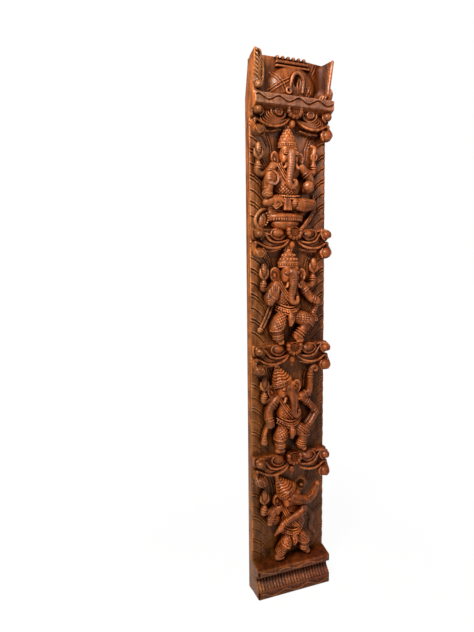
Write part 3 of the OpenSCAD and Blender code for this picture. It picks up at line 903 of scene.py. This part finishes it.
def leaning_figure(c):
    torso(c, -5, 86, 32)
    quilt(c, (-5, 104), (25, 13))
    leg(c, (-18, 16, 84), (-33, 24, 56), (-31, 20, 32), (16, 13.5, 10), -1, 6)
    leg(c, (10, 16, 82), (28, 25, 62), (22, 20, 30), (16, 13.5, 10), 1, 6)
    quilt(c, (-27, 70), (17, 20), 20)
    folds(c, (20, 72), (14, 14), 40)
    # club at the left
    web(c, [(-58, 11, 84), (-66, 11, 62), (-68, 12, 44)], [5, 6, 8])
    c.curve([(-58, 11, 84), (-66, 11, 62), (-68, 12, 44)], [3.5, 4.5, 8], 1.5)
    for k in range(4):
        c.line([(-76, 40 + k * 6), (-60, 42 + k * 6)], 1.8, 1.1, 4)
    arm(c, [(-36, 13, 144), (-55, 16, 124), (-60, 21, 104), (-58, 24, 94)], [10.5, 9.5, 8.5, 8])
    c.egg((-58, 25, 90), (10, 8, 11), 1.5)
    for k in (-1, 0, 1):
        c.line([(-58 + k * 4, 90), (-58 + k * 4.5, 79)], 1.5, 0.9, 10)
    arm(c, [(-38, 7, 148), (-56, 8, 140), (-68, 9, 142), (-66, 11, 156)], [8, 7, 7, 6], WRIST)
    bud(c, (-66, 11, 180), 34)
    arm(c, [(26, 12, 144), (43, 13, 149), (50, 13, 164), (52, 13, 196)], [9.5, 8, 7, 5.5], (0.22, 0.92))
    c.curve([(52, 13, 196), (52, 15, 207), (58, 16, 214), (66, 16, 211), (65, 16, 203), (60, 16, 203)],
            [5, 5, 4.5, 4, 3.5, 2.5], 0.6)
    arm(c, [(26, 13, 142), (48, 16, 123), (63, 18, 103)], [9.5, 8, 7])
    arm(c, [(63, 19, 102), (50, 23, 86), (35, 25, 72)], [7, 6.5, 6], WRIST)
    c.egg((33, 27, 69), (9, 7, 8), 1.0)
    c.slab([(30, 78), (46, 66), (36, 55), (20, 64)], 10, 28, 1.0, r=2)
    folds(c, (33, 66), (13, 11), 40, 5.0)
    face(c, (-16, 18, 166), -12, 3)
    ear(c, (-46, 8, 160), 13, 17, -26, -1)
    ear(c, (15, 8, 168), 11, 16, 4, 1)
    trunk(c, [(-11, 27, 170), (-4, 30, 150), (0, 30, 130), (-1, 30, 114), (3, 30, 105), (11, 30, 107),
              (12, 30, 115)])
    tusk(c, [(-20, 27, 147), (-24, 30, 140), (-28, 31, 139)])
    tusk(c, [(4, 27, 150), (10, 29, 143), (15, 29, 143)])
    mitre(c, (-23, 12, 182), 24, 42, -20, "ridge")


def striding_figure(c):
    c.egg((11, 9, 97), (28, 17, 22), 3.0)
    torso(c, 2, 80, 28)
    quilt(c, (4, 100), (25, 14))
    leg(c, (-6, 16, 78), (-18, 25, 54), (-33, 20, 30), (14.5, 12, 9), -1, 6)
    leg(c, (14, 16, 78), (29, 24, 56), (32, 20, 31), (14.5, 12, 9), 1, 7)
    quilt(c, (-13, 66), (15, 18), 30)
    folds(c, (23, 68), (13, 14), 40)
    # right forearm laid slantwise across the belly, its hand pointing down
    arm(c, [(-30, 13, 140), (-48, 14, 128), (-54, 15, 114)], [10.5, 9.5, 8.5])
    c.egg((-42, 15, 113), (12, 9, 13), 1.0)
    c.line([(-50, 118), (-43, 112), (-34, 116)], 2.2, 1.4, 8)
    c.line([(-50, 110), (-43, 105), (-35, 109)], 2.2, 1.4, 8)
    c.egg((-56, 16, 107), (7, 7, 6), 0.8)
    c.curve([(30, 12, 144), (27, 24, 138), (22, 32, 131)], [11, 10, 8.5], 1.5)
    c.limb([(20, 31, 129), (-30, 31, 107)], [8.5, 6.0], 2.0)
    for t in (0.78, 0.88):
        bangle(c, [(20, 31, 129), (-30, 31, 107)], t, 8.0)
    c.curve([(-31, 32, 106), (-36, 31, 97), (-41, 25, 86), (-44, 19, 76)], [6, 6.2, 4.5, 2.2], 0.8)
    for k in (-1, 1):
        c.line([(-36 + k * 1.6, 96), (-44 + k * 1.2, 76)], 1.6, 1.2, 14)
    arm(c, [(-32, 7, 142), (-52, 8, 132), (-70, 9, 132), (-68, 11, 146)], [8, 7, 7, 6], WRIST)
    bud(c, (-68, 11, 170), 34)
    c.curve([(52, 0, 116), (64, 0, 94), (60, 0, 70), (70, 0, 50)], [5, 8, 8, 5], 1.5, flat=0.5)
    folds(c, (64, 84), (12, 34))
    c.egg((31, 0, 181), (18, 7, 18), 6.0)
    c.egg((30, 8, 184), (13, 10, 13), 1.0, cut=True)
    c.egg((32, 5, 181), (4.5, 5, 4.5), 0.4)
    face(c, (-4, 18, 162), 14, 5)
    ear(c, (-33, 8, 156), 13, 16, -8, -1)
    trunk(c, [(2, 26, 165), (20, 28, 157), (38, 27, 155), (52, 26, 164), (59, 25, 176), (62, 24, 185)],
          [13, 11, 10, 9, 8, 6])
    c.egg((63, 25, 188), (6.5, 7, 6.5), 0.6)
    c.curve([(36, 34, 163), (46, 33, 168), (50, 31, 178)], [1.4, 1.9, 1.4], 0.4)
    tusk(c, [(14, 28, 148), (22, 33, 150), (30, 34, 152)], (3.4, 2.8, 1.6), 0.6)
    mitre(c, (-12, 12, 178), 24, 46, -34, "ridge")


def bracket(i):
    """Scroll bracket over a niche: volutes, rims and end curls on both sides of a lotus cup."""
    c = Carving(-4, -60, 16)
    edge = [(0, 11), (94.6, 11), (94.6, -12), (84, -20), (66, -31), (44, -30), (26, -25), (12, -14), (0, -11)]
    c.slab(edge + [(-x, z) for x, z in edge[::-1]], -2, 15, 2.0, r=3)
    for s, volute_x in ((-1, -35), (1, 42)):
        bracket_side(c, s, feathered=i == 0)
        volute(c, s, volute_x, -1, ringed=i == 0)
        end_curls(c, s)
    # lotus cup: stamens above, petals round the rim, a drop bud below
    c.egg((2, 17, 4), (17, 15, 15), 1.0)
    c.egg((2, 33, 7), (10.5, 10, 9), 0.8, cut=True)
    for a in np.radians(np.linspace(168, 372, 8)):
        u, v = math.cos(a), math.sin(a)
        x, z = 2 + 15.0 * u, 5 + 14.5 * v
        c.egg((x, 27, z), (5.4, 7, 5.6), 0.4)
        c.line([(x - 2.6 * u, z - 2.6 * v), (x + 5 * u, z + 5 * v)], 1.6, 0.7, 20)
    for a in np.radians(np.linspace(195, 345, 6)):
        u, v = math.cos(a), math.sin(a)
        c.limb([(2 + 2 * u, 25, 10), (2 + 9.5 * u, 28, 8 + 8 * v)], [1.3, 1.8], 0.3)
    c.egg((-3, 22, -24), (7, 9.5, 8.5), 1.0)
    if i > 0:
        c.limb([(-3, 23, -27), (-3, 21, -38)], [5.5, 1.8], 1.5)
    c.line([(-8, -25), (-3, -21), (2, -25)], 2.0, 1.2, 10)

    # darker at the left and about the cup
    def paint(x, q, z):
        return 0.10 - 0.07 * ease(x, 10, 30) + 0.08 * ease(np.abs(x + 8), 35, 23)
    c.piece("scroll_bracket_%d" % (i + 1), lotus_z(i), back=-1.0, paint=paint)


def mirrored(s, pts):
    """Points of the right-hand side, or of the left-hand one where s is -1."""
    return [(s * x, p, z) for x, p, z in pts]


def bracket_side(c, s, feathered):
    """Leaf ribs and rims of one side; the topmost bracket is feathered."""
    if feathered:
        # ribs that sweep round the volute towards the drop bud
        for k in range(5):
            rib = [(56 + 5.0 * k, 15, 9 - 3.5 * k), (57 + 4.2 * k, 19, -5 - 4.2 * k),
                   (45 + 3.0 * k, 20.5, -16 - 3.0 * k), (28 + 1.4 * k, 20.5, -18 - 1.8 * k),
                   (11, 19, -12 - 0.6 * k)]
            c.curve(mirrored(s, rib), [1.4, 2.1, 2.3, 2.1, 1.2], 0.5)
    else:
        # a rim from the drop bud under the volute up to the end curl, with finer leaf lines outside it
        rim = [(8, 20, -12), (24, 22, -17.5), (42, 23, -19.5), (57, 23, -15), (66, 22, -4), (76, 22, 7)]
        c.curve(mirrored(s, rim), [1.8, 2.4, 2.7, 2.7, 2.5, 2.2], 0.5)
        for k in range(3 if s < 0 else 1):
            leaf = [(30 + 4 * k, 18, -22 - 1.5 * k), (50 + 3 * k, 19.5, -24.5 - 1.2 * k),
                    (64 + 2 * k, 19, -18 - 2.2 * k), (71 + 2 * k, 17, -7 - 3.4 * k)]
            c.curve(mirrored(s, leaf), [1.2, 1.7, 1.7, 1.2], 0.4)
        if s > 0:
            c.curve([(76, 22, 7), (84, 26, 8), (91, 30, 2), (90, 31.5, -6), (84, 32.5, -8)],
                    [2.2, 2.4, 2.4, 2.2, 1.6], 0.4)
    # the hook on the lower curl, longer at the left, and the rims that lead to it
    hook = [(85, 20, -20), (92, 22, -30), (91, 32, -42), (86, 33, -50), (79, 33.4, -49), (76.5, 34, -43),
            (80, 35, -39)]
    n = 7 if s < 0 else 4
    c.curve(mirrored(s, hook[:n]), [2.4, 2.6, 2.8, 2.6, 2.4, 2.2, 1.6][:n], 0.4)
    rim = [(7, 21, -12), (23, 24, -26), (44, 25, -32), (66, 24, -30), (85, 20, -20)]
    c.curve(mirrored(s, rim), [2.2, 2.6, 2.8, 2.8, 2.4], 0.6)
    c.curve(mirrored(s, [(24, 8, -33), (46, 10, -38), (66, 9, -38)]), [1.8, 3.0, 2.2], 1.5)


def volute(c, s, x, z, ringed):
    """Oval volute with two rings about its eye, or with a plain eye and an open ring."""
    lean = s * -10
    c.egg((x, 13, z), (17.5, 12, 13.5), 1.0, lean)
    if ringed:
        c.ring((x, 20.5, z), 17.0, 2.8, 0.4, 0.80, lean)
        c.ring((x, 24.5, z), 8.0, 1.8, 0.3, 0.80, lean)
    else:
        arc = [(-17, -3), (-5, -11.5), (9, -10), (18, -1), (14, 8), (4, 11)]
        c.curve([(x + s * u, 20.5, z + v) for u, v in arc], [1.4, 2.2, 2.4, 2.4, 2.0, 1.3], 0.5)
        c.egg((x - s * 2, 14, z + 1), (15, 13, 9), 2.0, lean)
    c.line([(x - s * 12, z - 2), (x, z - 8), (x + s * 12, z - 4)], 2.2, 1.4, 16)


def end_curls(c, s):
    """Small ball over a large one at the end of a bracket, each with its curl."""
    c.curve(mirrored(s, [(66, 17, 6), (78, 20, 9), (90, 22, 5)]), [2.6, 3.6, 4], 1.2)
    c.egg((s * 84, 24, -2), (10, 11, 9.5), 1.0)
    c.curve(mirrored(s, [(75, 22, 5), (73, 25, -5), (79, 26, -13)]), [2.0, 2.6, 1.8], 0.5)
    c.egg((s * 89, 18, -21), (5, 6, 5), 1.0)
    c.curve(mirrored(s, [(91, 10, -22), (91, 15, -31), (87, 18, -38)]), [5, 7, 8], 2.0)
    c.limb(mirrored(s, [(84, 0, -42), (84, 18, -42)]), [8, 10], 0.8)
    c.egg((s * 83, 22, -43), (12.5, 14, 12.5), 1.0)
    c.curve(mirrored(s, [(74, 26, -33), (69.5, 26, -42), (73, 28, -53)]), [1.8, 2.8, 1.8], 0.5)


def left_horn(c):
    """Plate flush with the side, its front edge feathered, with a ball at its foot."""
    plate = [(-T, -4), (22, -4), (25, 22), (27, 48), (31, 70), (34, 88), (27, 88.5), (6, 83), (-6, 68),
             (-15, 40), (-21, 12)]
    c.moulding(plate, -HALF, -88, 1.5, 2.0)
    zs, ps = [16, 42, 62, 82], [21.5, 22.5, 25, 28.5]
    c.curve([(-85, q, z) for q, z in zip(ps, zs)], [8, 9, 8.5, 6.5], 2.0)
    for k in range(7):
        z = 28 + k * 7.6
        out = [np.interp(v, zs, ps) for v in (z + 14, z + 6, z - 5)]
        c.curve([(-94, out[0] + 2.5, z + 14), (-87, out[1] + 9.3, z + 6), (-78, out[2] + 6, z - 5)],
                [1.8, 2.5, 1.8], 0.2)
    for o in (0, 4.6):
        side = -75 - o * 0.2
        c.curve([(side, 24 - o, 18), (side + 2, 26 - o, 40), (-75, 29 - o, 60), (-81, 33 - o, 82)],
                [2.6, 2.8, 2.4, 1.6], 0.4)
    c.egg((-85, 29, 17), (8.5, 7.5, 8.5), 0.6)
    c.line([(-91, 15), (-88, 21), (-82, 20), (-82, 14)], 2.2, 1.4, 20)
    c.egg((-84, 16, 2), (11, 12, 9), 3.0)


def right_horn(c):
    """Curved sail from the back board to the front corner, with a ball and leaf lines at its foot."""
    for f in np.linspace(0, 1, 26):
        x, q = 60 + 31 * f, 2 + 31 * f ** 1.8
        c.limb([(x - 6 * f, q - 7 * f, 16), (x + 0.5, q, 70 + 13 * f ** 1.3)],
               [6 - 2.4 * f, 5.5 - 2.4 * f], 1.2)
    c.egg((89, 22, 14), (6, 14.5, 15), 1.0)
    c.line([(86, 22), (90, 14), (86, 5)], 2.4, 1.6, 10)
    for o in (0, 5, 10):
        c.curve([(66 + o, 18 + o * 0.6, 2), (70 + o, 21 + o * 0.6, 10), (78 + o * 0.6, 24 + o * 0.4, 16)],
                [1.6, 2.4, 1.4], 0.4)


def crown_dome(c):
    """Dome with fillets and beads above it, crossed bands, a horseshoe loop and leaf lines."""
    c.egg((4, 6, 28), (56, 22, 42), 3.0)
    c.slab([(-38, 65), (46, 65), (44, 70), (-36, 70)], 0, 15, 1.8, r=2.4)
    c.slab([(-36, 74), (44, 74), (42, 81), (-34, 81)], 0, 12, 1.8, r=2.4)
    for x in np.linspace(-32, 32, 6):
        c.egg((x, 9, 85), (4.2, 7, 4.6), 0.8)
    for o in (-3.4, 3.4):
        c.line([(-46 + o, 52), (-32 + o, 34), (-18 + o, 10)], 3.2, -3.2, 8)
        c.line([(-54, 12 + o), (-34, 25 + o), (-14, 36 + o)], 3.2, -3.2, 8)
    # horseshoe loop with a curled end
    c.egg((7, 34, 33), (10, 13, 15), 1.0, cut=True)
    c.curve([(-9, 27, 14), (-8, 29, 32), (-3, 30, 45), (7, 30, 50), (17, 29, 45), (22, 28, 32), (20, 27, 12)],
            [3, 3.6, 3.9, 3.9, 3.9, 3.6, 3], 0.6)
    c.ring((-13, 28, 13), 5.8, 2.6, 0.5)
    c.egg((-13, 24, 13), (3.0, 3, 3.0), 0.3, cut=True)
    c.curve([(12, 24, 38), (8, 26, 26), (10, 26, 10)], [1.6, 2.2, 1.8], 0.5)
    for o in (0, 7, 14):
        c.line([(26 + o, 8), (32 + o, 34 - o), (38 + o, 8)], 2.4, -1.6, 8)
        c.line([(29 + o, 8), (33 + o, 26 - o), (36 + o, 8)], 2.0, 1.4, 8)
    # slanting ribs between the dome and the right horn
    for o in (0, 7):
        c.curve([(46 + o, 7, 56), (52 + o, 8, 68), (58 + o, 7.5, 82)], [1.6, 2.1, 1.6], 0.5)


def crown_block():
    c = Carving(-T - 3, -6, CROWN_H + 3)
    # timber with sloping shoulders behind the horns
    c.slab([(-HALF, -4), (HALF, -4), (HALF, 66), (86, 82), (62, 84), (40, 86), (-40, 87), (-62, 87),
            (-86, 85), (-HALF, 78)], -T, 8, 1.0, r=1.2)
    crown_dome(c)
    left_horn(c)
    right_horn(c)
    # cut flush with the sides and the front, and along the slope behind the left horn
    x, p, z = c.ax[0][:, None, None], c.ax[1][None, :, None], c.ax[2][None, None, :]
    crop = np.maximum(np.abs(x) - HALF, p - (FRONT - 0.1))
    slope = 0.5 * np.maximum(-60 - x, 0) * ease(z, 0, 70)
    crop = np.maximum(crop, slope - T - p).astype(np.float32)

    # painted shade on the inner face of the sail, on the board behind the dome and on the beads along the
    # top, and a painted highlight on the front ribs of the left horn
    def paint(x, q, z):
        sail = ease(x, 56, 62) * ease(q, 30, 24) * ease(z, 18, 26)
        board = ease(q, 12, 8) * ease(np.abs(x), 62, 58)
        beads = ease(z, 79, 82) * ease(np.abs(x), 44, 40) * (q > 4)
        ribs = ease(x, -76, -79) * ease(q, 27, 30) * ease(z, 22, 26)
        return 0.24 * sail + 0.08 * board + 0.12 * beads - 0.14 * ribs
    c.piece("crown_block", CROWN_Z, crop, paint=paint)


def wavy(z, half, n, x):
    """Height of a wavy line about z at x, with n waves over the width."""
    return z + half * np.sin(2 * math.pi * n * (x + HALF) / W + 0.6)


def wavy_points(z, half, n):
    xs = np.linspace(-93, 93, 94)
    return list(zip(xs, wavy(z, half, n, xs)))


def cornice():
    c = Carving(-14, -13, CORNICE_H + 3)
    face = FRONT - 0.1
    c.moulding([(-11, -9), (20, -9), (face, 0), (face, CORNICE_H), (-11, CORNICE_H)], -HALF, HALF, 0.5, 1.0)
    groove(c, wavy_points(CORNICE_H * 0.52, 4.6, 4.0), False, 20)
    # its face is painted paler: a painted highlight
    c.piece("cornice_bar", CORNICE_Z, paint=lambda x, q, z: -0.09 * (q > 34.0))


def plinth():
    h = PLINTH_H
    c = Carving(-14, -3, h + 12)
    c.moulding([(-11, 0), (FRONT, 0), (FRONT, h * 0.27), (21, h * 0.52), (20, h * 0.68), (FRONT, h * 0.77),
                (FRONT, h * 0.97), (2, h + 7), (-11, h + 7)], -HALF, HALF, 0.5, 2.6)
    # flutes in the slope, and a raised wavy line on each band
    for x in np.linspace(-91, 91, 25):
        c.limb([(x, 35.6, h * 0.31), (x, 20.6, h * 0.55)], [2.5, 2.7], 0.4, cut=True)
    c.line([(-97, h * 0.285), (97, h * 0.285)], 2.0, 1.2, 25)
    waves = ((h * 0.135, 4.2, 3.2), (h * 0.872, 3.2, 3.2))
    for w in waves:
        c.line(wavy_points(*w), 2.8, -1.8, 20)
    # rounded upright edges at both ends
    r = 6.0
    u = np.maximum(np.abs(c.ax[0]) - HALF + r, 0)[:, None, None]
    v = np.maximum(c.ax[1] - FRONT + r, 0)[None, :, None]
    crop = np.where(u > 0, np.sqrt(u * u + v * v) - r, v - r - 3).astype(np.float32)

    # painted light: a painted highlight along the raised wavy lines and a lighter slope, painted light in the
    # shadow of the band above; the ledge on top is darker
    def paint(x, q, z):
        bright = sum(np.exp(-((z - wavy(*w, x)) / 1.5) ** 2) * (q > 30) for w in waves)
        ledge = z > h * 0.98
        slope = (z > h * 0.29) & (z < h * 0.53) & (q > 15)
        return 0.12 * ledge - 0.10 * slope - 0.30 * bright
    c.piece("plinth", 0.0, crop, paint=paint)


def timber():
    """Plain bevelled timber behind the carved field, set back a little so that no faces meet."""
    inset, bevel = 0.15, 1.2
    x, y0, y1 = HALF - inset, FIELD + 6.0, D / 2 - inset
    loop = [(-x, y0 + bevel), (bevel - x, y0), (x - bevel, y0), (x, y0 + bevel),
            (x, y1 - bevel), (x - bevel, y1), (bevel - x, y1), (-x, y1 - bevel)]
    n = len(loop)
    verts = np.array([(*q, z) for z in (inset, CROWN_Z) for q in loop]) * MM
    faces = [list(range(n))[::-1], list(range(n, 2 * n))]
    faces += [[k, (k + 1) % n, n + (k + 1) % n, n + k] for k in range(n)]
    hand_over("timber", verts, faces, np.full(len(verts), PLAIN_SHADE), smooth=False)


timber()
figures = {"seated": seated_figure, "dancing": dancing_figure, "leaning": leaning_figure,
           "striding": striding_figure}
for n, (pose, figure) in enumerate(figures.items(), 1):
    niche = niche_ground(n)
    figure(niche)
    niche.piece("niche_%d_%s" % (n, pose), lotus_z(n), back=BEHIND)
for n in range(NICHES):
    bracket(n)
crown_block()
cornice()
plinth()

scene = bpy.context.scene
scene.view_settings.view_transform = "Standard"


def pale_floor():
    """White to the camera farther out; near the object some shading is kept for its shadow."""
    s = Shader(bpy.data.materials.new("pale_floor"))
    s.feed_all("Principled BSDF", {"Base Color": (0.85, 0.85, 0.85), "Roughness": 0.9})
    lit = s.tree.nodes["Principled BSDF"].outputs["BSDF"]
    glow = s.node("ShaderNodeEmission", {"Color": PLAIN, "Strength": 1.03}).outputs["Emission"]
    place = s.node("ShaderNodeNewGeometry").outputs["Position"]
    away = s.node("ShaderNodeVectorMath", {0: place}, operation="LENGTH").outputs["Value"]
    share = s.maths("MULTIPLY", s.camera_ray(), s.spread(away, 0.4, 1.2, 0.93, 1.0))
    mix = s.node("ShaderNodeMixShader", {"Fac": share, 1: lit, 2: glow}).outputs["Shader"]
    s.feed_all("Material Output", {"Surface": mix})
    return s.owner


def studio_world():
    """Dim fill that is white to the camera."""
    s = Shader(bpy.data.worlds.new("studio"))
    s.feed_all("Background", {"Color": PLAIN, "Strength": s.spread(s.camera_ray(), 0.0, 1.0, 0.18, 1.0)})
    return s.owner


scene.world = studio_world()
bpy.ops.mesh.primitive_plane_add(size=30.0, location=(0, 0, -0.0005))
floor = bpy.context.object
floor.name = "floor"
floor.data.materials.append(pale_floor())


def area(name, at, to, size, power, color):
    """Soft rectangular lamp that faces a point."""
    li = bpy.data.lights.new(name, "AREA")
    li.shape = "RECTANGLE"
    li.size, li.size_y = size
    li.energy = power
    li.color = color
    ob = bpy.data.objects.new(name, li)
    ob.location = at
    ob.rotation_euler = (Vector(to) - Vector(at)).to_track_quat("-Z", "Y").to_euler()
    scene.collection.objects.link(ob)


area("key", (-0.95, -0.9, 1.75), (0, 0, 1.0), (0.4, 0.5), 33, (1.0, 0.96, 0.92))
area("fill", (1.3, -1.9, 1.7), (0, 0, 0.7), (0.5, 0.8), 8, (1.0, 0.95, 0.92))

# Camera fitted to the photograph: its place in metres, its angles in radians, its lens in photo pixels
CAMERA_AT = (-0.4967, -0.9685, 0.7687)
YAW, TILT, ROLL = 0.362, -0.102, -0.011
FOCAL_PX, PHOTO_H_PX, SENSOR = 472.4, 632.0, 36.0
cam = bpy.data.cameras.new("camera")
cam.sensor_fit = "VERTICAL"
cam.sensor_height = SENSOR
cam.lens = FOCAL_PX / PHOTO_H_PX * SENSOR
fwd = Vector((math.sin(YAW) * math.cos(TILT), math.cos(YAW) * math.cos(TILT), math.sin(TILT)))
right = Vector((math.cos(YAW), -math.sin(YAW), 0.0))
up = right.cross(fwd)
across = right * math.cos(ROLL) + up * math.sin(ROLL)
upright = -right * math.sin(ROLL) + up * math.cos(ROLL)
co = bpy.data.objects.new("camera", cam)
co.matrix_world = Matrix.Translation(CAMERA_AT) @ Matrix((across, upright, -fwd)).transposed().to_4x4()
scene.collection.objects.link(co)
scene.camera = co
